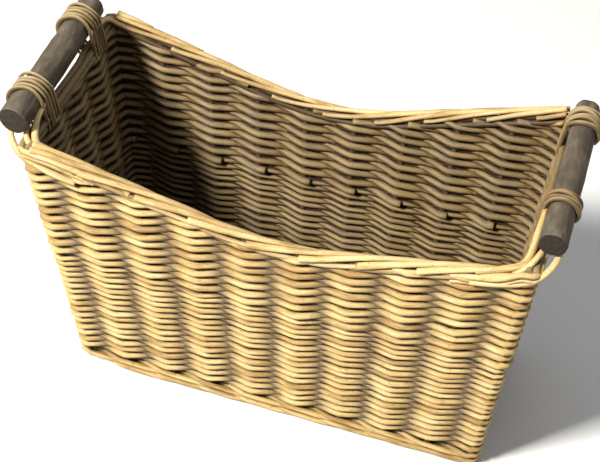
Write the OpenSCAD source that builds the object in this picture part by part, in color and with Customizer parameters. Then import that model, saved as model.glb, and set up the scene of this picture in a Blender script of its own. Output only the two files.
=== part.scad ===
// Rectangular willow log basket with two branch handles.
// Millimetres. Origin at the middle of the underside of the base.
// X runs along the basket, Y across it (front is -Y), Z is up.

/* [Body] */
// Length of the body over the walls at the foot
foot_l = 507; // [420:1:620]
// Length of the body over the walls at the end rims
top_l = 560; // [460:1:680]
// Width of the body over the walls at the foot
foot_w = 200; // [160:1:300]
// Width of the body over the walls at the end rims
top_w = 244; // [170:1:340]
// Height of the rim at the two ends
end_h = 396; // [330:1:460]
// Height of the rim at the lowest point of the long sides
dip_h = 324; // [280:1:400]
// Thickness of the woven walls
wall_t = 17; // [12:0.5:20]

/* [Weaving] */
// Height of the thick wale rods at the foot
foot_band = 24; // [16:1:36]
// Height at which the second set of weavers begins
join_h = 206; // [150:1:260]
// Height at which the short packing rods begin
pack_h = 301; // [250:1:330]
// Depth of the rim border
border_h = 21.5; // [14:0.5:28]
// Diameter of the rods in the border
border_d = 7; // [5:0.1:8]

/* [Stakes] */
// Diameter of the upright stakes
stake_d = 7.6; // [5:0.1:9]
// Diameter of the four corner posts
post_d = 9; // [7:0.5:11]
// Stakes between the corners on each long side
stakes_long = 8; // [5:1:12]
// Stakes between the corners on each end
stakes_end = 3; // [2:1:6]

/* [Rim] */
// Radius of the curved middle of the dipped rim
dip_r = 285; // [200:5:700]
// Slope of the back rim towards both ends
rim_slope = 17; // [12:0.5:26]
// Slope of the front rim towards the left end
rim_slope_left = 15.5; // [12:0.5:26]
// Slope of the front rim towards the right end
rim_slope_right = 14; // [12:0.5:26]
// How far right of the middle the front rim is lowest
dip_shift = 12; // [-40:1:40]

/* [Handles] */
// Diameter of the left branch
pole_d_left = 35; // [26:0.5:40]
// Diameter of the right branch
pole_d_right = 31; // [26:0.5:40]
// Length of each branch
pole_l = 203; // [160:1:260]
// Distance of the left branch axis from the middle of the basket
pole_x_left = 285; // [240:1:330]
// Distance of the right branch axis from the middle of the basket
pole_x_right = 283; // [240:1:330]
// Height of the left branch axis
pole_z_left = 405; // [340:1:470]
// Height of the right branch axis
pole_z_right = 409; // [340:1:470]
// Offset of the left branch towards the back
pole_y_left = -4.5; // [-20:0.5:20]
// Offset of the right branch towards the back
pole_y_right = 1; // [-20:0.5:20]
// Diameter of the lashing rods
lash_d = 5; // [3:0.1:6]

/* [Base] */
// Thickness of the woven base mat
mat_t = 10; // [8:0.5:14]
// Diameter of the inner base sticks
base_stick_d = 6.4; // [5:0.1:8]
// Diameter of the two edge sticks of the base
edge_stick_d = 10; // [8:0.5:12]

/* [Hidden] */
gap = 0.3;
k_l = (top_l - foot_l) / 2 / end_h;
k_w = (top_w - foot_w) / 2 / end_h;
lean_long = atan(k_w);
lean_end = atan(k_l);
foot_z = 2;
end_rim = 384;
end_under = end_rim - border_h;
lash_z = 356;
stake_top = dip_h - border_h - 2;
end_stake_top = lash_z - 7;
post_top = end_rim - 18;
lash_pitch = lash_d + 0.5;
post_in = 8.5;
rod_fn = 16;
straw = [0.83, 0.68, 0.42];
amber = [0.72, 0.55, 0.32];
bark = [0.42, 0.36, 0.30];
pale = [0.88, 0.74, 0.50];

// Half length and half width of the outside of the body at height z
function hl(z) = foot_l / 2 + z * k_l;
function hw(z) = foot_w / 2 + z * k_w;

// Height of the rim crest at x: an arc in the middle, straight towards the ends
function crest(x, x0, sl, sr) =
  let (u = x - x0, s = u < 0 ? sl : sr, a = dip_r * sin(s))
  abs(u) <= a
    ? dip_h + dip_r - sqrt(dip_r * dip_r - u * u)
    : dip_h + dip_r * (1 - cos(s)) + (abs(u) - a) * tan(s);
function front_crest(x) = crest(x, dip_shift, rim_slope_left, rim_slope_right);
function back_crest(x) = crest(x, 0, rim_slope, rim_slope);

// Place of stake i across a side of half length h
function stake_at(i, n, h) = -h + (i + 1) * 2 * h / (n + 1);

// Wall frames: local x along the wall, local y up the slope, local z outward
module at_front() {
  translate([0, -foot_w / 2, 0])
    rotate([90 + lean_long, 0, 0])
      children();
}

module at_back() {
  mirror([0, 1, 0])
    at_front()
      children();
}

module at_right() {
  translate([foot_l / 2, 0, 0])
    rotate([0, lean_end, 0])
      rotate([90, 0, 90])
        children();
}

module at_left() {
  mirror([1, 0, 0])
    at_right()
      children();
}

// Straight round rod from a to b
module rod(a, b, d) {
  v = b - a;
  len = norm(v);
  translate(a)
    rotate([0, acos(v[2] / len), atan2(v[1], v[0])])
      cylinder(h = len, d = d, $fn = rod_fn);
}

// Stakes of a long side, and the same shapes a little fatter for their channels
module long_stakes(d, from, to) {
  for (i = [0 : stakes_long - 1])
    rod([stake_at(i, stakes_long, hl(0) - post_in), from, -wall_t / 2],
        [stake_at(i, stakes_long, hl(to) - post_in), to, -wall_t / 2], d);
}

module long_posts(d, from, to) {
  for (s = [-1, 1])
    rod([s * (hl(from) - post_in), from, -wall_t / 2],
        [s * (hl(to) - post_in), to, -wall_t / 2], d);
}

module end_stakes(d, from, to) {
  for (i = [0 : stakes_end - 1])
    rod([stake_at(i, stakes_end, hw(from) - post_in), from, -wall_t / 2],
        [stake_at(i, stakes_end, hw(to) - post_in), to, -wall_t / 2], d);
}

// Woven panel of a long side between heights z0 and z1
module long_panel(z0, z1) {
  difference() {
    translate([0, 0, -wall_t])
      linear_extrude(wall_t)
        polygon([[-hl(z0), z0], [hl(z0), z0], [hl(z1), z1], [-hl(z1), z1]]);
    long_stakes(stake_d + 2 * gap, 0, stake_top + 26);
    long_posts(post_d + 2 * gap, 0, post_top + 4);
  }
}

// Woven panel of an end between heights z0 and z1
module end_panel(z0, z1) {
  difference() {
    translate([0, 0, -wall_t])
      linear_extrude(wall_t)
        polygon([[-hw(z0) + wall_t + gap, z0], [hw(z0) - wall_t - gap, z0],
                 [hw(z1) - wall_t - gap, z1], [-hw(z1) + wall_t + gap, z1]]);
    end_stakes(stake_d + 2 * gap, 0, end_rim);
  }
}

// Short rods that fill the wedge between the level weave and the raised rim
module wedge(side, front) {
  near = side * 50 + (front ? dip_shift : 0);
  far = side * (hl(end_rim - 22) - 1);
  steps = 14;
  top = [for (i = [0 : steps])
    let (x = near + (far - near) * i / steps)
    [x, (front ? front_crest(x) : back_crest(x)) - (border_h + 0.6) / cos(rim_slope)]];
  difference() {
    translate([0, 0, -wall_t])
      linear_extrude(wall_t)
        polygon(concat([[side * hl(pack_h), pack_h + gap], [near, pack_h + gap]], top));
    long_stakes(stake_d + 2 * gap, 0, stake_top + 26);
    long_posts(post_d + 2 * gap, 0, post_top + 4);
  }
}

// One border rod following the dipped rim, k below the crest and w outward
module rim_rod(front, k, w) {
  x0 = front ? dip_shift : 0;
  sl = front ? rim_slope_left : rim_slope;
  sr = front ? rim_slope_right : rim_slope;
  r = dip_r + k;
  cy = dip_h + dip_r;
  reach = hl(end_rim) - 16;
  dl = [-cos(sl), sin(sl), 0];
  dr = [cos(sr), sin(sr), 0];
  al = [x0 - r * sin(sl), cy - r * cos(sl), w] - 2 * dl;
  ar = [x0 + r * sin(sr), cy - r * cos(sr), w] - 2 * dr;
  translate([x0, cy, w])
    rotate([0, 0, -90 - sl])
      rotate_extrude(angle = sl + sr, $fn = 90)
        translate([r, 0])
          circle(d = border_d, $fn = rod_fn);
  rod(al, al + (al[0] + reach) / cos(sl) * dl, border_d - 0.2);
  rod(ar, ar + (reach - ar[0]) / cos(sr) * dr, border_d - 0.2);
}

// Depth below the crest and depth into the wall of the five border rods
border_rods = [[3.6, -4.7], [3.8, -12.1], [11, -4.8], [11.2, -12.2], [18, -8.5]];

module rim_bundle(front) {
  for (p = border_rods)
    rim_rod(front, p[0], p[1]);
}

module end_bundle() {
  reach = hw(end_under) - wall_t - 2 * gap;
  for (p = border_rods)
    rod([-reach, end_rim - p[0], p[1]], [reach, end_rim - p[0], p[1]], border_d);
}

// One branch, a little thinner towards the back
module pole(d) {
  rotate([90, 0, 0])
    translate([0, 0, -pole_l / 2])
      cylinder(h = pole_l, d1 = d - 2, d2 = d, $fn = 40);
}

// One turn of lashing: over the branch and under the border of the end wall
module turn(d, x, z) {
  r = d / 2 + lash_d / 2 + gap;
  xo = hl(lash_z) - x + lash_d / 2 + 1;
  xi = xo - wall_t - lash_d - 2.6;
  zb = lash_z - z;
  ao = atan2(zb, xo) + acos(r / norm([xo, zb]));
  ai = atan2(zb, xi) - acos(r / norm([xi, zb])) + 360;
  po = r * [cos(ao), sin(ao)];
  pi = r * [cos(ai), sin(ai)];
  rotate([90, 0, 0])
    rotate([0, 0, ao])
      rotate_extrude(angle = ai - ao, $fn = 32)
        translate([r, 0])
          circle(d = lash_d, $fn = rod_fn);
  rod([po[0], 0, po[1]], [xo, 0, zb], lash_d);
  rod([pi[0], 0, pi[1]], [xi, 0, zb], lash_d);
  rod([xi, 0, zb], [xo, 0, zb], lash_d);
  for (p = [po, pi, [xo, zb], [xi, zb]])
    translate([p[0], 0, p[1]])
      sphere(d = lash_d + 0.4, $fn = rod_fn);
}

module lashing(side, y, turns) {
  d = side < 0 ? pole_d_left : pole_d_right;
  x = side < 0 ? pole_x_left : pole_x_right;
  z = side < 0 ? pole_z_left : pole_z_right;
  mirror([side < 0 ? 1 : 0, 0, 0])
    for (i = [0 : turns - 1])
      translate([x, y + (i - (turns - 1) / 2) * lash_pitch, z])
        turn(d, x, z);
}

// Openings in the end wall where the lashing turns pass under the border
module lash_slot(y, turns) {
  translate([y, (lash_z - wall_t / 2 * sin(lean_end)) / cos(lean_end), 0])
    cube([turns * lash_pitch + 2, lash_d + 2, 3 * wall_t], center = true);
}

// Two border rods turned up beside the end of a branch, one on each side of it
module risers(side, end) {
  d = side < 0 ? pole_d_left : pole_d_right;
  x = side < 0 ? pole_x_left : pole_x_right;
  z = side < 0 ? pole_z_left : pole_z_right;
  r = d / 2 + lash_d / 2 + 0.8;
  xa = hl(end_rim - 7) - wall_t - lash_d / 2 - 0.6;
  ya = hw(end_rim - 7) - wall_t - lash_d / 2 - 1;
  yb = hw(end_rim - 13) - 4;
  knee = [x + r - 2, -yb + 6, z - 21];
  mirror([side < 0 ? 1 : 0, 0, 0])
    mirror([0, end < 0 ? 0 : 1, 0]) {
      rod([xa, -ya, end_rim - 9], [x - r, -ya + 1, z + 5], lash_d);
      rod([hl(end_rim - 13) + 3, -yb, end_rim - 17], knee, lash_d);
      rod(knee, [x + r, -yb + 15, z + 2], lash_d);
      translate(knee)
        sphere(d = lash_d + 0.4, $fn = rod_fn);
    }
}

module base_mat() {
  color(amber)
    difference() {
      translate([-hl(0) + wall_t + 2, -hw(0) + wall_t + 12, 0])
        cube([2 * hl(0) - 2 * wall_t - 4, 2 * hw(0) - 2 * wall_t - 24, mat_t]);
      for (i = [-2 : 2])
        rod([-hl(0), i * 31, mat_t / 2], [hl(0), i * 31, mat_t / 2],
            base_stick_d + 2 * gap);
    }
}

module base_sticks() {
  color(bark)
    for (i = [-2 : 2])
      rod([-hl(0) + wall_t + 1, i * 31, mat_t / 2], [hl(0) - wall_t - 1, i * 31, mat_t / 2],
          base_stick_d);
}

module base_edge_sticks() {
  color(bark)
    for (s = [-1, 1])
      rod([-hl(0) + wall_t + 1, s * (hw(0) - wall_t - 6), edge_stick_d / 2],
          [hl(0) - wall_t - 1, s * (hw(0) - wall_t - 6), edge_stick_d / 2], edge_stick_d);
}

module foot_wale_front() {
  color(pale)
    at_front()
      long_panel(foot_z, foot_band);
}

module foot_wale_back() {
  color(pale)
    at_back()
      long_panel(foot_z, foot_band);
}

module foot_wale_left() {
  color(pale)
    at_left()
      end_panel(foot_z, foot_band);
}

module foot_wale_right() {
  color(pale)
    at_right()
      end_panel(foot_z, foot_band);
}

module siding_lower_front() {
  color(straw)
    at_front()
      long_panel(foot_band + gap, join_h);
}

module siding_lower_back() {
  color(straw)
    at_back()
      long_panel(foot_band + gap, join_h);
}

module siding_lower_left() {
  color(straw)
    at_left()
      end_panel(foot_band + gap, join_h);
}

module siding_lower_right() {
  color(straw)
    at_right()
      end_panel(foot_band + gap, join_h);
}

module siding_upper_front() {
  color(amber)
    at_front()
      long_panel(join_h + gap, pack_h);
}

module siding_upper_back() {
  color(amber)
    at_back()
      long_panel(join_h + gap, pack_h);
}

module siding_upper_left() {
  color(amber)
    at_left()
      end_panel(join_h + gap, pack_h);
}

module siding_upper_right() {
  color(amber)
    at_right()
      end_panel(join_h + gap, pack_h);
}

module packing_front_left() {
  color(straw)
    at_front()
      wedge(-1, true);
}

module packing_front_right() {
  color(straw)
    at_front()
      wedge(1, true);
}

module packing_back_left() {
  color(straw)
    at_back()
      wedge(-1, false);
}

module packing_back_right() {
  color(straw)
    at_back()
      wedge(1, false);
}

module packing_end_left() {
  color(straw)
    at_left()
      difference() {
        end_panel(pack_h + gap, end_under - gap);
        lash_slot(left_front_y, left_front_n);
        lash_slot(left_back_y, left_back_n);
      }
}

module packing_end_right() {
  color(straw)
    at_right()
      difference() {
        end_panel(pack_h + gap, end_under - gap);
        lash_slot(right_front_y, right_front_n);
        lash_slot(right_back_y, right_back_n);
      }
}

module stakes_front() {
  color(pale)
    at_front()
      long_stakes(stake_d, foot_z, stake_top);
}

module stakes_back() {
  color(pale)
    at_back()
      long_stakes(stake_d, foot_z, stake_top);
}

module stakes_left() {
  color(pale)
    at_left()
      end_stakes(stake_d, foot_z, end_stake_top);
}

module stakes_right() {
  color(pale)
    at_right()
      end_stakes(stake_d, foot_z, end_stake_top);
}

module one_post(side) {
  color(bark)
    rod([side * (hl(foot_z) - post_in), foot_z, -wall_t / 2],
        [side * (hl(post_top) - post_in), post_top, -wall_t / 2], post_d);
}

module corner_post_front_left() {
  at_front()
    one_post(-1);
}

module corner_post_front_right() {
  at_front()
    one_post(1);
}

module corner_post_back_left() {
  at_back()
    one_post(-1);
}

module corner_post_back_right() {
  at_back()
    one_post(1);
}

module border_front() {
  color(pale)
    at_front()
      rim_bundle(true);
}

module border_back() {
  color(pale)
    at_back()
      rim_bundle(false);
}

module border_left() {
  color(pale)
    at_left()
      end_bundle();
}

module border_right() {
  color(pale)
    at_right()
      end_bundle();
}

module corner_risers_front_left() {
  color(straw)
    risers(-1, -1);
}

module corner_risers_front_right() {
  color(straw)
    risers(1, -1);
}

module corner_risers_back_left() {
  color(straw)
    risers(-1, 1);
}

module corner_risers_back_right() {
  color(straw)
    risers(1, 1);
}

module handle_pole_left() {
  color(bark)
    translate([-pole_x_left, pole_y_left, pole_z_left])
      pole(pole_d_left);
}

module handle_pole_right() {
  color(bark)
    translate([pole_x_right, pole_y_right, pole_z_right])
      pole(pole_d_right);
}

// Middle of each lashing along the branch and its number of turns
left_front_y = -62;
left_front_n = 6;
left_back_y = 62;
left_back_n = 6;
right_front_y = -46;
right_front_n = 4;
right_back_y = 74;
right_back_n = 5;

module lashing_left_front() {
  color(pale)
    lashing(-1, left_front_y, left_front_n);
}

module lashing_left_back() {
  color(pale)
    lashing(-1, left_back_y, left_back_n);
}

module lashing_right_front() {
  color(pale)
    lashing(1, right_front_y, right_front_n);
}

module lashing_right_back() {
  color(pale)
    lashing(1, right_back_y, right_back_n);
}

base_mat();
base_sticks();
base_edge_sticks();
foot_wale_front();
foot_wale_back();
foot_wale_left();
foot_wale_right();
siding_lower_front();
siding_lower_back();
siding_lower_left();
siding_lower_right();
siding_upper_front();
siding_upper_back();
siding_upper_left();
siding_upper_right();
packing_front_left();
packing_front_right();
packing_back_left();
packing_back_right();
packing_end_left();
packing_end_right();
stakes_front();
stakes_back();
stakes_left();
stakes_right();
corner_post_front_left();
corner_post_front_right();
corner_post_back_left();
corner_post_back_right();
border_front();
border_back();
border_left();
border_right();
corner_risers_front_left();
corner_risers_front_right();
corner_risers_back_left();
corner_risers_back_right();
handle_pole_left();
handle_pole_right();
lashing_left_front();
lashing_left_back();
lashing_right_front();
lashing_right_back();
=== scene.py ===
"""Wicker log basket: every rod of the weave as its own tube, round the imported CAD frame. Metres, +Z up."""

import math

import bpy
import numpy as np
from mathutils import Matrix, Vector, noise


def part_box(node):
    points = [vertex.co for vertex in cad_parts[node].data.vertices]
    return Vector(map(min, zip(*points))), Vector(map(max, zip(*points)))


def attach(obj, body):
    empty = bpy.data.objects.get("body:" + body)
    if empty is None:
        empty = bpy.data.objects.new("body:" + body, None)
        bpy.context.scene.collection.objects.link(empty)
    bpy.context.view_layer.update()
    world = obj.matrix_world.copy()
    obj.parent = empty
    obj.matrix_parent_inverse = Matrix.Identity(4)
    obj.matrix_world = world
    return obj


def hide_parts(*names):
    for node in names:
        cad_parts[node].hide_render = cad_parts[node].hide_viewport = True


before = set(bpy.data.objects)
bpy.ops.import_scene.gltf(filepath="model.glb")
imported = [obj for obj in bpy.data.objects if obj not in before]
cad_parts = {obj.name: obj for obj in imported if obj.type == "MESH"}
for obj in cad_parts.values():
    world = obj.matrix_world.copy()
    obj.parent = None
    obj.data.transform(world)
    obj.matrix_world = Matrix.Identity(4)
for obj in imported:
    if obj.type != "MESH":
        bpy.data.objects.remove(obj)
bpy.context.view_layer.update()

# Uprights: spaces between them along each side, counted round the basket from the front left corner
SIDES = (("front", 9), ("right", 4), ("back", 9), ("left", 4))
SPACES = np.array([count for _, count in SIDES])
STARTS = np.concatenate([[0], np.cumsum(SPACES)])
UPRIGHTS = int(STARTS[-1])
ALONG = np.array([(1, 0), (0, 1), (-1, 0), (0, -1)], float)
OUTWARD = np.array([(0, -1), (1, 0), (0, 1), (-1, 0)], float)

WALL = 0.017          # thickness of the woven wall
CORNER_R = 0.005      # rounding of the wall's corners, at its middle
STAKE_R = 0.0038
POST_R = 0.0045
BORDER_H = 0.0215     # height of the border bundle
BORDER_R = 0.0035     # radius of a border rod
LASH_R = 0.0024
CORE_R = 0.0019

# The dipping rim of each long side: radius of its arc, where the arc's lowest point is along the side,
# the slopes towards the left and right ends in degrees, and how far the whole rim is raised
DIP_R = 0.285
DIP_SHIFT = {"front": 0.012, "back": 0.0}
SLOPES = {"front": (15.5, 14.0), "back": (16.0, 18.0)}
DIP_LIFT = {"front": 0.0, "back": 0.0025}

RNG = np.random.default_rng(7)


# ---------------------------------------------------------------- the body's shape, from the frame

def body_lines():
    """Half length and half width of the body at height 0, and how much each grows per metre of height."""
    (low_a, high_a), (low_b, high_b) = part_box("foot_wale_front"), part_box("siding_upper_front")
    rise = high_b.z - high_a.z
    grow_x, grow_y = (high_b.x - high_a.x) / rise, (low_a.y - low_b.y) / rise
    return high_a.x - grow_x * high_a.z, grow_x, -low_a.y - grow_y * high_a.z, grow_y


HALF_X, GROW_X, HALF_Y, GROW_Y = body_lines()
FOOT_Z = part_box("foot_wale_front")[0].z
FOOT_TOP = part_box("foot_wale_front")[1].z
JOIN_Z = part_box("siding_lower_front")[1].z
END_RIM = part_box("border_left")[1].z
DIP_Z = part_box("border_front")[0].z + BORDER_H


def half_x(z):
    return HALF_X + GROW_X * z


def half_y(z):
    return HALF_Y + GROW_Y * z


def crest(side, x):
    """Height of the rim of a long side at x: an arc in the middle, straight towards the ends."""
    u = np.asarray(x, float) - DIP_SHIFT[side]
    slope = np.radians(np.where(u < 0, *SLOPES[side]))
    reach = DIP_R * np.sin(slope)
    bowl = DIP_R - np.sqrt(np.maximum(DIP_R**2 - np.minimum(np.abs(u), reach) ** 2, 0))
    return DIP_Z + DIP_LIFT[side] + bowl + np.maximum(np.abs(u) - reach, 0) * np.tan(slope)


def wall_point(s, z, out):
    """Points at upright number s, height z, and out metres outside the middle of the wall."""
    s, z, out = np.broadcast_arrays(np.mod(s, UPRIGHTS), z, out)
    side = np.clip(np.searchsorted(STARTS, s, side="right") - 1, 0, 3)
    long_side = side % 2 == 0
    mid_x, mid_y = half_x(z) - WALL / 2, half_y(z) - WALL / 2
    half = np.where(long_side, mid_x, mid_y)
    wall = np.where(long_side, mid_y, mid_x)
    q = (2 * (s - STARTS[side]) / SPACES[side] - 1) * half
    arc = np.maximum(CORNER_R + out, 0.001)
    straight = np.minimum(np.abs(q) / (half - CORNER_R), 1) * (half + out - arc)
    turn = np.maximum(np.abs(q) - (half - CORNER_R), 0) / CORNER_R * math.pi / 4
    along = np.sign(q) * (straight + arc * np.sin(turn))
    away = wall + out - arc + arc * np.cos(turn)
    plan = along[:, None] * ALONG[side] + away[:, None] * OUTWARD[side]
    return np.column_stack([plan, z])


def rim_limit(s, point):
    """Height in the middle of the border above each point."""
    side = np.clip(np.searchsorted(STARTS, np.mod(s, UPRIGHTS), side="right") - 1, 0, 3)
    top = np.where(side == 0, crest("front", point[:, 0]), crest("back", point[:, 0]))
    return np.where(side % 2 == 0, top, END_RIM) - BORDER_H * 0.5


def zigzag(t, sharp=0.988):
    """Rounded triangle wave: -1 at even t, +1 at odd t."""
    return -np.arcsin(sharp * np.cos(math.pi * t)) / math.asin(sharp)


def wobble(t, size, step, rng):
    """Slow random drift along a rod."""
    knots = np.arange(math.floor(t[0]) - 1, math.ceil(t[-1]) + 2 + step, step)
    values = rng.normal(0, size, len(knots))
    return np.interp(t, knots, values)


# ---------------------------------------------------------------- tubes

def rod(path, radius, hint=(0, 0, 1), shade=0.0, inside=0.0):
    """One rod as a dict: shade is painted shade, by how deep it lies in the weave; inside is how far it
    faces inwards, for the painted shade of the basket's inside.
    """
    path = np.asarray(path, float)
    ones = np.ones(len(path))
    return {"path": path, "radius": radius * ones, "hint": hint, "shade": shade * ones,
            "inside": inside * ones, "tint": RNG.random()}


def tube(r, sides, rng):
    """Vertices, faces, cap flags and attributes of one rod, with slightly rounded cut ends."""
    path, radius = r["path"], r["radius"]
    way = np.gradient(path, axis=0)
    way /= np.linalg.norm(way, axis=1)[:, None]
    across = np.cross(way, r["hint"])
    across /= np.linalg.norm(across, axis=1)[:, None]
    up = np.cross(across, way)
    length = np.concatenate([[0], np.cumsum(np.linalg.norm(np.diff(path, axis=0), axis=1))])
    # Two extra rings round off each cut end
    ends = [0, *range(len(path)), len(path) - 1]
    path, up, across, length = path[ends], up[ends], across[ends], length[ends]
    grow = np.interp(length, *knobs(length[-1], rng))
    radius = radius[ends] * grow
    path[0] -= way[0] * radius[0] * 0.18
    path[-1] += way[-1] * radius[-1] * 0.18
    radius[[0, -1]] *= 0.78
    angle = np.arange(sides) * 2 * math.pi / sides
    oval = 1 + 0.05 * np.sin(2 * angle + rng.random() * 6)
    ring_c, ring_s = np.cos(angle) * oval * 1.08, np.sin(angle) * oval
    verts = (path[:, None] + radius[:, None, None]
             * (ring_c[None, :, None] * across[:, None] + ring_s[None, :, None] * up[:, None]))
    rings = len(path)
    i, j = np.meshgrid(np.arange(rings - 1), np.arange(sides), indexing="ij")
    k = (j + 1) % sides
    quads = np.stack([i * sides + j, i * sides + k, (i + 1) * sides + k, (i + 1) * sides + j], -1)
    coord = np.stack([np.repeat(length, sides), np.tile(ring_c, rings) * np.repeat(radius, sides),
                      np.tile(ring_s, rings) * np.repeat(radius, sides)], -1)
    shade = np.repeat(r["shade"][ends], sides)
    inside = np.repeat(r["inside"][ends], sides)
    caps = [list(range(sides))[::-1], list(range((rings - 1) * sides, rings * sides))]
    return verts.reshape(-1, 3), quads.reshape(-1, 4), caps, coord, shade, inside


def knobs(length, rng):
    """Lengths along a rod and its thickness there: a slight swelling at each old bud."""
    at = np.arange(0, length + 0.02, 0.011)
    swell = 1 + rng.normal(0, 0.02, len(at))
    swell[rng.integers(0, 6)::7] += 0.08
    return at, swell


def make_rods(name, rods, materials, sides=8, nodes=()):
    """One object that holds the rods, riding on the root body and standing for the named CAD nodes."""
    rng = np.random.default_rng(sum(map(ord, name)))
    verts, faces, cap_flags, coords, shades, insides, tints = [], [], [], [], [], [], []
    base = 0
    for r in rods:
        v, quads, caps, coord, shade, inside = tube(r, sides, rng)
        verts.append(v)
        faces += (quads + base).tolist() + [[c + base for c in cap] for cap in caps]
        cap_flags += [0] * len(quads) + [1] * len(caps)
        coords.append(coord + [rng.random() * 5, 0, 0])
        shades.append(shade)
        insides.append(inside)
        tints.append(np.full(len(v), r["tint"]))
        base += len(v)
    mesh = bpy.data.meshes.new(name)
    mesh.from_pydata(np.concatenate(verts).tolist(), [], faces)
    mesh.polygons.foreach_set("material_index", cap_flags)
    mesh.polygons.foreach_set("use_smooth", [flag == 0 for flag in cap_flags])
    add_attribute(mesh, "rod_coord", np.concatenate(coords))
    add_attribute(mesh, "rod_shade", np.concatenate(shades))
    add_attribute(mesh, "rod_inside", np.concatenate(insides))
    add_attribute(mesh, "rod_tint", np.concatenate(tints))
    mesh.update()
    return place(name, mesh, materials, nodes)


def add_attribute(mesh, name, values):
    kind, field = ("FLOAT_VECTOR", "vector") if values.ndim == 2 else ("FLOAT", "value")
    attribute = mesh.attributes.new(name, kind, "POINT")
    attribute.data.foreach_set(field, values.astype(np.float32).ravel())


def place(name, mesh, materials, nodes):
    """Links a mesh as a piece of the object."""
    for material in materials:
        mesh.materials.append(material)
    piece = bpy.data.objects.new(name, mesh)
    bpy.context.scene.collection.objects.link(piece)
    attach(piece, "root")
    if nodes:
        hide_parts(*nodes)
    return piece


def smooth_path(points, count):
    """Catmull-Rom curve through a few points."""
    p = np.asarray(points, float)
    p = np.vstack([2 * p[0] - p[1], p, 2 * p[-1] - p[-2]])
    u = np.linspace(0, len(p) - 3, count)
    i = np.minimum(u.astype(int), len(p) - 4)
    f = (u - i)[:, None]
    a, b, c, d = p[i], p[i + 1], p[i + 2], p[i + 3]
    return 0.5 * (2 * b + (c - a) * f + (2 * a - 5 * b + 4 * c - d) * f**2 + (3 * b - a - 3 * c + d) * f**3)


# ---------------------------------------------------------------- materials

class Nodes:
    """Short calls for building a material's node tree."""

    def __init__(self, name):
        self.material = bpy.data.materials.new(name)
        self.material.use_nodes = True
        self.tree = self.material.node_tree
        self.shader = self.tree.nodes["Principled BSDF"]

    def link(self, value, socket):
        if isinstance(value, bpy.types.NodeSocket):
            self.tree.links.new(value, socket)
        else:
            socket.default_value = value

    def attribute(self, name, output="Fac"):
        node = self.tree.nodes.new("ShaderNodeAttribute")
        node.attribute_name = name
        return node.outputs[output]

    def scaled(self, vector, scale):
        node = self.tree.nodes.new("ShaderNodeVectorMath")
        node.operation = "MULTIPLY"
        self.link(vector, node.inputs[0])
        node.inputs[1].default_value = scale
        return node.outputs[0]

    def split(self, vector, axis):
        node = self.tree.nodes.new("ShaderNodeSeparateXYZ")
        self.link(vector, node.inputs[0])
        return node.outputs[axis]

    def noise(self, vector, scale, detail=3.0, roughness=0.55):
        node = self.tree.nodes.new("ShaderNodeTexNoise")
        self.link(vector, node.inputs["Vector"])
        node.inputs["Scale"].default_value = scale
        node.inputs["Detail"].default_value = detail
        node.inputs["Roughness"].default_value = roughness
        return node.outputs["Fac"]

    def math(self, operation, a, b=0.0, clamp=False):
        node = self.tree.nodes.new("ShaderNodeMath")
        node.operation = operation
        node.use_clamp = clamp
        self.link(a, node.inputs[0])
        self.link(b, node.inputs[1])
        return node.outputs[0]

    def ramp(self, value, stops):
        node = self.tree.nodes.new("ShaderNodeValToRGB")
        self.link(value, node.inputs[0])
        elements = node.color_ramp.elements
        while len(elements) < len(stops):
            elements.new(0.5)
        for element, (at, colour) in zip(elements, stops):
            element.position = at
            element.color = (*colour, 1)
        return node.outputs["Color"]

    def mix(self, amount, a, b, blend="MIX"):
        node = self.tree.nodes.new("ShaderNodeMix")
        node.data_type = "RGBA"
        node.blend_type = blend
        self.link(amount, node.inputs["Factor"])
        inputs = [s for s in node.inputs if s.type == "RGBA"]
        self.link(a if isinstance(a, bpy.types.NodeSocket) else (*a, 1), inputs[0])
        self.link(b if isinstance(b, bpy.types.NodeSocket) else (*b, 1), inputs[1])
        return [s for s in node.outputs if s.type == "RGBA"][0]

    def range(self, value, low, high, to_low=0.0, to_high=1.0):
        node = self.tree.nodes.new("ShaderNodeMapRange")
        for socket, number in zip(node.inputs[:5], (value, low, high, to_low, to_high)):
            self.link(number, socket)
        return node.outputs[0]

    def bump(self, height, strength, distance):
        node = self.tree.nodes.new("ShaderNodeBump")
        node.inputs["Strength"].default_value = strength
        node.inputs["Distance"].default_value = distance
        self.link(height, node.inputs["Height"])
        self.link(node.outputs[0], self.shader.inputs["Normal"])

    def finish(self, colour, roughness, specular=0.4):
        self.link(colour, self.shader.inputs["Base Color"])
        self.link(roughness, self.shader.inputs["Roughness"])
        self.shader.inputs["Specular IOR Level"].default_value = specular
        return self.material


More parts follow.
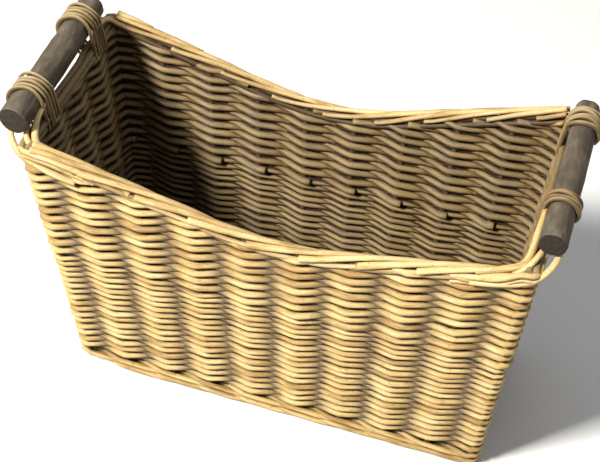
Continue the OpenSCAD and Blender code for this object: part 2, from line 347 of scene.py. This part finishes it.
def willow(name, pale, mid, dark, painted_shade_and_speck=(0.040, 0.020, 0.008), inside_shade=(0.135, 0.100, 0.062),
           under=(0.100, 0.045, 0.012)):
    """Peeled willow: straw to amber from rod to rod, with painted shade: browner underneath, greyer and
    darker on the inside, dark brown where it lies deep in the weave.
    """
    n = Nodes(name)
    coord = n.attribute("rod_coord", "Vector")
    fibre = n.noise(n.scaled(coord, (45, 1500, 1500)), 1.0, 4.0)
    stain = n.noise(n.scaled(coord, (28, 160, 160)), 1.0, 3.0)
    speck = n.noise(n.scaled(coord, (260, 520, 520)), 1.0, 2.0)
    tone = n.math("ADD", n.math("MULTIPLY", n.attribute("rod_tint"), 0.6),
                  n.math("MULTIPLY", n.math("SUBTRACT", stain, 0.42), 2.4))
    colour = n.ramp(tone, [(0.0, pale), (0.55, mid), (1.0, dark)])
    colour = n.mix(n.range(fibre, 0.35, 0.7, 0.0, 0.35), colour, dark)
    colour = n.mix(n.range(speck, 0.60, 0.76, 0.0, 0.6), colour, painted_shade_and_speck)
    inside = n.attribute("rod_inside")
    # Painted shade: parts that face the inside of the basket turn greyer and darker.
    colour = n.mix(n.math("MULTIPLY", inside, n.range(stain, 0.3, 0.6, 0.95, 0.55)), colour, inside_shade)
    height = n.split(coord, "Z")
    # Painted shade: the underside of each rod turns towards the under colour.
    colour = n.mix(n.range(height, 0.0010, -0.0024, 0.0, 1.0), colour, under)
    # Painted shade: rod_shade darkens rods where they lie deep in the weave, as the shade there.
    colour = n.mix(n.attribute("rod_shade"), colour, painted_shade_and_speck)
    n.bump(n.math("ADD", fibre, n.math("MULTIPLY", speck, 0.4)), 0.55, 0.0006)
    return n.finish(colour, n.range(fibre, 0.3, 0.7, 0.42, 0.62), 0.35)


def cut_wood(name, pale, dark):
    """The cut end of a rod."""
    n = Nodes(name)
    spot = n.noise(n.attribute("rod_coord", "Vector"), 900.0, 2.0)
    n.bump(spot, 0.5, 0.0004)
    return n.finish(n.ramp(spot, [(0.3, dark), (0.7, pale)]), 0.8, 0.2)


def bark(name):
    """Weathered grey-brown bark with fine cracks along the branch."""
    n = Nodes(name)
    coord = n.attribute("rod_coord", "Vector")
    crack = n.noise(n.scaled(coord, (60, 260, 260)), 1.0, 6.0, 0.65)
    patch = n.noise(n.scaled(coord, (26, 60, 60)), 1.0, 4.0)
    speck = n.noise(n.scaled(coord, (420, 700, 700)), 1.0, 3.0)
    colour = n.ramp(patch, [(0.3, (0.066, 0.050, 0.034)), (0.5, (0.115, 0.092, 0.066)),
                            (0.72, (0.190, 0.158, 0.118))])
    colour = n.mix(n.range(crack, 0.42, 0.62, 0.0, 0.35), colour, (0.045, 0.033, 0.022))
    colour = n.mix(n.range(speck, 0.6, 0.75, 0.0, 0.35), colour, (0.20, 0.165, 0.12))
    n.bump(n.math("SUBTRACT", n.math("MULTIPLY", speck, 0.35), crack), 0.7, 0.0014)
    return n.finish(colour, n.range(speck, 0.3, 0.7, 0.62, 0.85), 0.25)


def end_grain(name):
    """Dark, weathered end of a branch with growth rings."""
    n = Nodes(name)
    coord = n.attribute("rod_coord", "Vector")
    radial = n.attribute("rod_shade")
    wave = n.math("SINE", n.math("ADD", n.math("MULTIPLY", radial, 44.0),
                                 n.math("MULTIPLY", n.noise(coord, 160.0, 2.0), 5.0)))
    grime = n.noise(coord, 420.0, 4.0)
    colour = n.ramp(grime, [(0.3, (0.018, 0.014, 0.010)), (0.7, (0.050, 0.038, 0.027))])
    colour = n.mix(n.range(wave, 0.2, 1.0, 0.0, 0.5), colour, (0.030, 0.023, 0.017))
    n.bump(n.math("ADD", grime, n.math("MULTIPLY", wave, 0.15)), 0.6, 0.0012)
    return n.finish(colour, 0.82, 0.2)


# Each under colour is painted shade for the rods' undersides.
STRAW = dict(pale=(0.74, 0.56, 0.265), mid=(0.62, 0.43, 0.165), dark=(0.36, 0.215, 0.07))
WEAVE = (willow("willow_weave", **STRAW), cut_wood("willow_cut", (0.24, 0.18, 0.12), (0.05, 0.036, 0.024)))
BORDER = (willow("willow_border", pale=(0.78, 0.60, 0.30), mid=(0.64, 0.45, 0.185), dark=(0.36, 0.22, 0.08)),
          cut_wood("willow_border_cut", (0.42, 0.33, 0.21), (0.16, 0.11, 0.06)))
LASHING = (willow("willow_lashing", pale=(0.80, 0.64, 0.36), mid=(0.58, 0.42, 0.20), dark=(0.20, 0.12, 0.05),
                  under=(0.085, 0.052, 0.022)),
           cut_wood("willow_lashing_cut", (0.30, 0.23, 0.15), (0.06, 0.045, 0.03)))
# The uprights are dark brown, darkened further as painted shade of the gaps where they show between rods.
STAKE = (willow("willow_stake", pale=(0.20, 0.135, 0.07), mid=(0.135, 0.085, 0.04), dark=(0.07, 0.045, 0.02),
                under=(0.10, 0.06, 0.03)),
         cut_wood("willow_stake_cut", (0.24, 0.18, 0.11), (0.06, 0.045, 0.03)))
MAT = (willow("willow_base", pale=(0.50, 0.37, 0.20), mid=(0.38, 0.27, 0.13), dark=(0.22, 0.14, 0.06)),
       WEAVE[1])
BARK = (bark("bark"), end_grain("bark_end"))


# ---------------------------------------------------------------- weave

def weave_rod(t, start, height, radius, rng):
    """A siding rod from one upright: in front of one and behind the next, rising all the way."""
    s = start + t
    swing = zigzag(np.maximum(t, 0)) * (STAKE_R + radius * 0.9) * rng.normal(1.0, 0.05)
    swing += wobble(t, 0.0004, 1.0, rng)
    z = height + wobble(t, 0.0006, 1.0, rng) + 0.0012 * np.sin(s * 2.4) + 0.0008 * np.sin(s * 0.73 + 1)
    point = wall_point(s, z, swing)
    depth = swing / (STAKE_R + radius)
    # Painted shade: darkest where the rod crosses the middle of the wall; inside sets the painted inside
    # shade on inner passes.
    shade = np.clip(0.80 - np.abs(depth) * 1.25, 0, 1)
    inside = np.clip(-depth * 1.6 + 0.1, 0, 1)
    return s, rod(point, radius, shade=shade, inside=inside)


def runs(keep):
    """Start and end of each unbroken stretch of True."""
    edge = np.flatnonzero(np.diff(np.concatenate([[0], keep.astype(int), [0]])))
    return list(zip(edge[::2], edge[1::2]))


def siding(layer, low, high, thick, thin, nodes, seed):
    """A full set of weavers between two heights, one from each upright, cut off at the rim.

    thick and thin are the radii of the rods' butts and tips. Returns the parts that the dip cuts off from
    their rod.
    """
    press = 0.93  # rods are pressed together to this share of their thickness
    total = (high - low - thick) / (press * (thick + thin))
    scraps, shade_fillers = [], []
    for w in range(UPRIGHTS):
        rng = np.random.default_rng(1000 * seed + w)
        t = np.arange(-0.16, total + rng.uniform(-0.3, 0.6), 1 / 12)
        fade = np.clip(t / total, 0, 1)
        radius = thick + (thin - thick) * fade
        height = low + thick + press * (2 * thick * t + (thin - thick) * t * t / total)
        height = np.where(t < 0, low + thick, height)
        taper = np.interp(t, [-0.1, 0.6, t[-1] - 1.5, t[-1]], [1.12, 1, 1, 0.8])
        radius = radius * rng.normal(1.0, 0.05) * taper
        s, r = weave_rod(t, w, height, radius, rng)
        keep = r["path"][:, 2] < rim_limit(s, r["path"])
        stretches = [x for x in runs(keep) if x[1] - x[0] > 6]
        for number, (a, b) in enumerate(stretches):
            part = cut(r, a, b)
            if number == 0:
                make_rods(f"{layer}_weaver_{w + 1:02d}", [part], WEAVE, nodes=nodes if w == 0 else ())
            else:
                scraps.append(part)
        # Thin rods in the middle of the wall stop light that pressed rods would stop; they are coloured near
        # black as painted shade in the gaps. A real basket doesn't have them
        for middle in (height, height + press * radius):
            core = rod(wall_point(s, middle, 0.0), CORE_R, shade=1.0, inside=0.5)
            keep = middle < rim_limit(s, core["path"])
            shade_fillers += [cut(core, a, b, 4) for a, b in runs(keep) if b - a > 6]
    # Level rounds of the same near-black filler rods, painted shade, close the wedge under the first weavers
    round_s = np.arange(0, UPRIGHTS + 0.2, 0.2)
    for above in (0.0, 0.003, 0.006, 0.009):
        shade_fillers.append(rod(wall_point(round_s, low + above, 0.0), CORE_R, shade=1.0, inside=0.5))
    make_rods(f"{layer}_core_rods", shade_fillers, STAKE, sides=5)
    return scraps


def cut(r, a, b, step=1):
    """Part of a rod."""
    return dict(r, **{key: r[key][a:b:step] for key in ("path", "radius", "shade", "inside")})


def foot_wale(nodes):
    """Two rounds of three-rod wale: each rod falls in front of two uprights and passes behind the third."""
    radius = 0.0028
    rounds = 2
    tall = (FOOT_TOP - FOOT_Z) / rounds
    for k in range(3):
        rng = np.random.default_rng(50 + k)
        t = np.arange(0, UPRIGHTS * rounds + 0.3, 1 / 10)
        # The step from the first round to the second is in the middle of the back
        level = np.interp(t + k, [UPRIGHTS - 10, UPRIGHTS - 7], [0, 1])
        out = np.interp(np.mod(t, 3), [0, 0.5, 0.85, 1.5, 2.1, 2.6, 3],
                        [-1, 0.35, 1.12, 1.08, 0.72, 0.2, -1])
        fall = np.interp(np.mod(t, 3), [0, 0.5, 2.6, 3], [0, 1, -1, 0])
        z = FOOT_Z + tall * (0.5 + level) + fall * (tall / 2 - radius * 0.55) + wobble(t, 0.0004, 1.0, rng)
        # Painted shade: darker where the rod goes into the wall and behind an upright; inside sets the
        # painted inside shade.
        shade = np.clip(0.55 - out * 0.8, 0, 1)
        path = wall_point(t + k, np.maximum(z, FOOT_Z + radius * 0.7), out * (STAKE_R + radius))
        r = rod(path, radius * rng.normal(1.0, 0.04), shade=shade, inside=np.clip(-out, 0, 1))
        make_rods(f"foot_wale_rod_{k + 1}", [r], WEAVE, nodes=nodes if k == 0 else ())


def uprights():
    """Stakes of each side and the four corner posts."""
    for (side, count), first in zip(SIDES, STARTS):
        rods = []
        for s in range(first + 1, first + count):
            rods.append(upright(s, STAKE_R))
        make_rods(f"stakes_{side}_rods", rods, STAKE, nodes=[f"stakes_{side}"])
    corners = ("front_left", "front_right", "back_right", "back_left")
    for corner, s in zip(corners, STARTS):
        make_rods(f"corner_post_{corner}_rod", [upright(s, POST_R)], STAKE,
                  nodes=[f"corner_post_{corner}"])


def upright(s, radius):
    z = np.linspace(0.009, 0.37, 40)
    top = rim_limit(np.full(40, s), wall_point(np.full(40, s), z, 0.0))
    z = np.linspace(0.009, float(top[-1]), 40)
    # inside=0.4 gives the uprights part of the painted inside shade.
    return rod(wall_point(np.full(40, float(s)), z, 0.0), radius, hint=(1, 1, 0), inside=0.4)


# ---------------------------------------------------------------- rim

def rim_path(side, sign, x, w, v):
    """Points along a long side's rim, w outside and v above the middle of the border."""
    crown = crest(side, x)
    tilt = np.gradient(crown, x)
    norm = np.sqrt(1 + tilt**2)
    z = crown - BORDER_H * 0.5 + v / norm
    y = sign * (half_y(z) - WALL / 2 + w)
    return np.column_stack([x - v * tilt / norm, y, z])


def border_side(side, sign, nodes):
    """The rolled border of a long side: rods that turn over the rim as they go along it.

    Three rods, coloured near black as painted shade, fill the middle of the bundle.
    """
    rods = []
    spacing = 2 * half_x(0.36) / 9
    reach = half_x(END_RIM) - 0.014
    x = sign * np.linspace(-reach, reach, 80)
    for w, v, radius in ((-0.0005, -0.0005, 0.0034), (-0.0040, -0.0062, 0.0030), (0.0030, -0.0070, 0.0030)):
        rods.append(rod(rim_path(side, sign, x, w, v), radius, shade=0.92, inside=0.3))
    # Length in spaces between uprights, angles round the bundle, radius, and offset along the rim
    families = ((2.45, (12, 172), BORDER_R, 0.0), (1.7, (-85, 2), BORDER_R * 0.88, 0.45))
    for number, (length, turn, size, offset) in enumerate(families):
        for k in range(-3, 9):
            rng = np.random.default_rng(300 + k + int(sign) * 40 + number * 700)
            t = np.linspace(0, length + rng.uniform(-0.1, 0.2), 48)
            x = -half_x(0.36) + (k + 0.1 + offset + t + rng.uniform(-0.06, 0.06)) * spacing
            keep = np.abs(x) < reach
            if keep.sum() < 6:
                continue
            t, x = t[keep], x[keep]
            angle = np.radians(np.interp(t, [0, length], turn)) + wobble(t, 0.07, 1.0, rng)
            lift = 1 + 0.16 * np.exp(-t / 0.25)
            w, v = 0.0064 * np.cos(angle) * lift, 0.0072 * np.sin(angle) * lift
            radius = size * rng.normal(1.0, 0.06) * np.interp(t, [0, 0.4, length], [1.06, 1.0, 0.7])
            # Painted shade: strands low on the bundle turn darker, and those turned inwards take the painted
            # inside shade.
            shade = np.clip(0.10 - np.sin(angle) * 0.3, 0, 0.6)
            rods.append(rod(rim_path(side, sign, -x if sign > 0 else x, w, v), radius, shade=shade,
                            inside=np.clip(-np.cos(angle), 0, 1) * 0.5))
    make_rods(f"border_{side}_rods", rods, BORDER, sides=12, nodes=nodes)


def border_end(side, sign, nodes):
    """Border rods across an end wall, under the branch."""
    rods = []
    reach = half_y(END_RIM) - 0.006
    for k, (v, w) in enumerate(((-0.0037, 0.0038), (-0.0037, -0.0037), (-0.0110, 0.0038), (-0.0112, -0.0037),
                                (-0.0178, 0.0))):
        rng = np.random.default_rng(420 + k + int(sign) * 9)
        y = np.linspace(-reach, reach, 40)
        x = half_x(END_RIM + v) - WALL / 2 + w + wobble(y * 40, 0.0006, 1.0, rng)
        z = END_RIM + v + wobble(y * 40, 0.0005, 1.0, rng)
        # Painted shade: these rods are darkened and greyed like the shaded inside of the basket.
        rods.append(rod(np.column_stack([sign * x, y, z]), BORDER_R, shade=0.35, inside=0.7))
    make_rods(f"border_{side}_rods", rods, BORDER, sides=10, nodes=nodes)


def risers(side, end, nodes):
    """Rods at a corner: three turned up beside or under the branch, two wrapped round on to the end wall."""
    sx, sy = (-1 if side == "left" else 1), (-1 if end == "front" else 1)
    low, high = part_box(f"handle_pole_{side}")
    px, pz = (high.x + low.x) / 2 * sx, (high.z + low.z) / 2
    pr = (high.z - low.z) / 2
    lash_low, lash_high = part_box(f"lashing_{side}_{end}")
    near, far = sorted((abs(lash_low.y), abs(lash_high.y)))
    tied = (near if sy * lash_low.y < 0 else far) - 0.010
    wy = half_y(0.375) - WALL / 2
    top = END_RIM - 0.004
    inner = [(px - 0.066, wy + 0.001, top - 0.020), (px - 0.042, wy - 0.001, top - 0.010),
             (px - pr - 0.006, wy - 0.007, top + 0.001), (px - pr - 0.001, (wy + tied) / 2, pz - 0.010),
             (px - pr + 0.0005, tied, pz - 0.003)]
    outer = [(px - 0.070, wy + 0.007, top - 0.031), (px - 0.040, wy + 0.008, top - 0.022),
             (px - 0.010, wy + 0.005, top - 0.010), (px + 0.006, wy - 0.008, pz - pr - 0.007),
             (px + 0.009, (wy + tied) / 2, pz - pr - 0.0015), (px + 0.010, tied, pz - pr + 0.0005)]
    long_side = "front" if sy < 0 else "back"
    rim = [float(crest(long_side, sx * (px - back))) for back in (0.090, 0.045)]
    ex, ey = half_x(0.372) - WALL / 2, half_y(0.372) - WALL / 2
    wraps = []
    for low_by, out in ((0.0065, 0.0078), (0.0140, 0.0070)):
        z = END_RIM - low_by
        wraps.append([(px - 0.090, ey + 0.003, rim[0] - low_by - 0.006),
                      (px - 0.045, ey + out, rim[1] - low_by - 0.002),
                      (ex - 0.010, ey + out, z), (ex + out * 0.6, ey + out * 0.6, z + 0.001),
                      (ex + out, ey - 0.012, z), (ex + out - 0.001, ey - 0.040, z),
                      (ex + out - 0.002, ey - 0.075, z), (ex + out - 0.003, ey - 0.118, z - 0.001)])
    short = [(px - 0.030, wy + 0.001, top - 0.010), (px - 0.018, wy - 0.002, top + 0.001),
             (px - 0.010, wy - 0.012, pz - pr - 0.002), (px - 0.004, wy - 0.030, pz - pr - 0.001)]
    rods = []
    for points, size in ((inner, 1.12), (outer, 1.0), (short, 0.9), (wraps[0], 0.95), (wraps[1], 0.9)):
        p = np.array(points) * (sx, sy, 1)
        path = smooth_path(p, 40)
        rods.append(rod(path, BORDER_R * size * np.linspace(1.05, 0.8, 40), hint=(0.1, 0.2, 1)))
    make_rods(f"corner_risers_{end}_{side}_rods", rods, BORDER, sides=10, nodes=nodes)


# ---------------------------------------------------------------- handles

def branch(side, nodes):
    """A straight branch with its bark on, sawn at both ends."""
    low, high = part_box(f"handle_pole_{side}")
    x, z = (low.x + high.x) / 2, (low.z + high.z) / 2
    thick = (high.z - low.z) / 2
    sides, rings = 56, 90
    y = np.linspace(low.y, high.y, rings)
    verts, coords, radial = [], [], []
    grid = [(y[0], r) for r in (0.0, 0.3, 0.6, 0.85, 0.97)] + [(v, 1.0) for v in y]
    grid += [(y[-1], r) for r in (0.97, 0.85, 0.6, 0.3, 0.0)]
    for number, (v, share) in enumerate(grid):
        taper = thick - 0.001 * (v - low.y) / (high.y - low.y)
        bow = 0.0009 * math.sin((v - low.y) * 18)
        for k in range(sides):
            angle = 2 * math.pi * k / sides
            c, s = math.cos(angle), math.sin(angle)
            lump = noise.noise(Vector((c * 1.6, s * 1.6, v * 26 + x * 50))) * 0.0010
            lump += noise.noise(Vector((c * 5, s * 5, v * 70 + x * 90))) * 0.0004
            knot = math.exp(-((v - low.y - 0.12) / 0.009) ** 2 - ((angle - 2.0) / 0.5) ** 2) * 0.0016
            r = (taper - 0.0011 + lump + knot) * max(share, 0.001)
            edge = 0.0006 * (1 - share) * (1 if number < 5 else -1 if number > len(grid) - 6 else 0)
            rounded = 0.0008 if share == 1.0 and number == 5 else 0
            verts.append((x + r * c + bow, v - edge + rounded, z + r * s))
            coords.append((v, r * c, r * s))
            radial.append(share)
    faces, caps = [], []
    for i in range(len(grid) - 1):
        for k in range(sides):
            m = (k + 1) % sides
            faces.append((i * sides + k, i * sides + m, (i + 1) * sides + m, (i + 1) * sides + k))
            caps.append(1 if i < 4 or i > len(grid) - 7 else 0)
    mesh = bpy.data.meshes.new(f"handle_pole_{side}_branch")
    mesh.from_pydata(verts, [], faces)
    mesh.polygons.foreach_set("material_index", caps)
    mesh.polygons.foreach_set("use_smooth", [True] * len(faces))
    add_attribute(mesh, "rod_coord", np.array(coords))
    add_attribute(mesh, "rod_shade", np.array(radial))
    mesh.update()
    place(f"handle_pole_{side}_branch", mesh, BARK, nodes)


def lashing(side, end, turns, nodes):
    """One rod wound over the branch and through the border of the end wall, its turns crossing a little."""
    sx = -1 if side == "left" else 1
    low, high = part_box(f"handle_pole_{side}")
    lash_low, lash_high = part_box(f"lashing_{side}_{end}")
    px, pz, pr = (low.x + high.x) / 2 * sx, (low.z + high.z) / 2, (high.z - low.z) / 2
    r = pr + LASH_R * 0.6
    under = END_RIM - 0.014
    x_out = half_x(under) + 0.001
    x_in = x_out - WALL + 0.0005
    y0, y1 = lash_low.y + LASH_R, lash_high.y - LASH_R
    rng = np.random.default_rng(600 + turns + int(10 * sx))
    reach_out, reach_in = math.hypot(x_out - px, under - pz), math.hypot(x_in - px, under - pz)
    a_out = math.atan2(under - pz, x_out - px) + math.acos(min(r / reach_out, 1))
    a_in = math.atan2(under - pz, x_in - px) - math.acos(min(r / reach_in, 1)) + 2 * math.pi
    arc = [(px + r * math.cos(a), pz + r * math.sin(a)) for a in np.linspace(a_out, a_in, 15)]
    loop = arc + [(x_in, under), ((x_in + x_out) / 2, under - 0.002), (x_out, under)]
    points, thick = [], []
    for k in range(turns):
        sway, twist = rng.normal(0, 0.0011), rng.normal(0, 0.0011)
        for i, (x, z) in enumerate(loop):
            f = i / len(loop)
            y = y0 + (y1 - y0) * (k + f) / turns
            y += sway * math.sin(math.pi * f) + twist * math.sin(3 * math.pi * f + k)
            lift = max(0.0, 0.0007 * math.sin(k * 2.3 + f * 8))
            points.append(((x + (x - px) / r * lift) * sx, y, z + (z - pz) / r * lift))
            thick.append(LASH_R * (0.84 + 0.12 * math.sin(k * 1.7 + f * 5)))
    count = len(points) * 3
    path = smooth_path(points, count)
    radius = np.interp(np.linspace(0, 1, count), np.linspace(0, 1, len(thick)), thick)
    make_rods(f"lashing_{side}_{end}_rod", [rod(path, radius, hint=(0, 1, 0.001))], LASHING, sides=10,
              nodes=nodes)


# ---------------------------------------------------------------- base

def base():
    """The flat base: sticks along it, with thin rods woven across them."""
    stick_r, weaver_r, mid = 0.0026, 0.0017, 0.0062
    rows = np.arange(-2, 3) * 0.031
    edge = half_y(0) - WALL - 0.006
    # The mat runs in between the rods of the foot wale, so that no gap is left along the walls
    tuck = 0.010
    reach = half_x(0) - WALL + tuck
    x = np.linspace(-reach, reach, 30)
    sticks = [rod(np.column_stack([x, np.full(30, y), np.full(30, mid)]), stick_r) for y in rows]
    make_rods("base_sticks_rods", sticks, STAKE, nodes=["base_sticks"])
    edges = [rod(np.column_stack([x, np.full(30, y), np.full(30, mid)]), 0.0042) for y in (-edge, edge)]
    make_rods("base_edge_sticks_rods", edges, STAKE, nodes=["base_edge_sticks"])
    lines = np.concatenate([[-edge], rows, [edge]])
    y = np.linspace(-edge - 0.004 - tuck, edge + 0.004 + tuck, 90)
    weavers = []
    count = int(2 * (reach - 0.003) / (2 * weaver_r * 1.02))
    for k in range(count):
        rng = np.random.default_rng(900 + k)
        x = -reach + 0.003 + (k + 0.5) * 2 * (reach - 0.003) / count
        phase = np.interp(y, lines, np.arange(len(lines)), left=-0.1, right=len(lines) - 0.9)
        z = mid + zigzag(phase + k % 2, 0.9) * (stick_r + weaver_r * 0.7)
        path = np.column_stack([x + wobble(y * 60, 0.0002, 1.0, rng), y, z])
        weavers.append(rod(path, weaver_r * rng.normal(1, 0.06), hint=(1, 0, 0)))
    make_rods("base_mat_rods", weavers, MAT, sides=6, nodes=["base_mat"])


# ---------------------------------------------------------------- build

ALL_SIDES = ("front", "back", "left", "right")
foot_wale([f"foot_wale_{side}" for side in ALL_SIDES])
LOWER, UPPER = ([f"siding_{layer}_{side}" for side in ALL_SIDES] for layer in ("lower", "upper"))
siding("lower", FOOT_TOP, JOIN_Z + 0.003, 0.0034, 0.0026, LOWER, 1)
scraps = siding("upper", JOIN_Z - 0.002, 0.392, 0.0038, 0.0033, UPPER, 2)
PACKING = [f"packing_{a}_{b}" for a in ("front", "back", "end") for b in ("left", "right")]
for number, part in enumerate(scraps):
    make_rods(f"packing_rod_{number + 1:02d}", [part], WEAVE, nodes=PACKING if number == 0 else ())
uprights()
border_side("front", -1.0, ["border_front"])
border_side("back", 1.0, ["border_back"])
border_end("left", -1.0, ["border_left"])
border_end("right", 1.0, ["border_right"])
for side in ("left", "right"):
    branch(side, [f"handle_pole_{side}"])
    for end in ("front", "back"):
        risers(side, end, [f"corner_risers_{end}_{side}"])
TURNS = (("left", "front", 6), ("left", "back", 6), ("right", "front", 4), ("right", "back", 5))
for side, end, turns in TURNS:
    lashing(side, end, turns, [f"lashing_{side}_{end}"])
base()


# ---------------------------------------------------------------- floor, light, camera

def floor():
    n = Nodes("floor")
    mesh = bpy.data.meshes.new("floor")
    size = 6.0
    corners = [(-size, -size, 0), (size, -size, 0), (size, size, 0), (-size, size, 0)]
    mesh.from_pydata(corners, [], [(0, 1, 2, 3)])
    mesh.materials.append(n.finish((0.86, 0.86, 0.85, 1), 0.9, 0.1))
    piece = bpy.data.objects.new("floor", mesh)
    bpy.context.scene.collection.objects.link(piece)


def area_light(name, place_at, target, size, power, colour=(1, 1, 1)):
    data = bpy.data.lights.new(name, "AREA")
    data.size = size
    data.energy = power
    data.color = colour
    lamp = bpy.data.objects.new(name, data)
    lamp.location = place_at
    lamp.rotation_euler = (Vector(target) - Vector(place_at)).to_track_quat("-Z", "Y").to_euler()
    bpy.context.scene.collection.objects.link(lamp)


def lights():
    world = bpy.data.worlds.new("studio")
    world.use_nodes = True
    world.node_tree.nodes["Background"].inputs["Color"].default_value = (0.95, 0.97, 1.0, 1)
    world.node_tree.nodes["Background"].inputs["Strength"].default_value = 0.19
    bpy.context.scene.world = world
    area_light("key", (-1.6, -1.75, 2.75), (0, 0, 0.2), 0.6, 222, (1.0, 0.97, 0.91))
    area_light("top", (0.4, 0.5, 2.4), (0, 0, 0.2), 1.8, 12)


def camera(azimuth, elevation, roll, distance, target, lens):
    """A camera that looks at target from the given side, in degrees and metres."""
    a, e = math.radians(azimuth), math.radians(elevation)
    back = Vector((math.sin(a) * math.cos(e), -math.cos(a) * math.cos(e), math.sin(e)))
    data = bpy.data.cameras.new("camera")
    data.lens = lens
    data.sensor_width = 36
    data.clip_start, data.clip_end = 0.05, 50
    cam = bpy.data.objects.new("camera", data)
    turn = (-back).to_track_quat("-Z", "Y").to_matrix() @ Matrix.Rotation(math.radians(roll), 3, "Z")
    cam.matrix_world = Matrix.Translation(Vector(target) + back * distance) @ turn.to_4x4()
    bpy.context.scene.collection.objects.link(cam)
    bpy.context.scene.camera = cam


floor()
lights()
bpy.context.scene.view_settings.view_transform = "Standard"
camera(16.77, 47.52, 1.449, 1.559, (-0.0026, 0.0048, 0.22), 80.93)
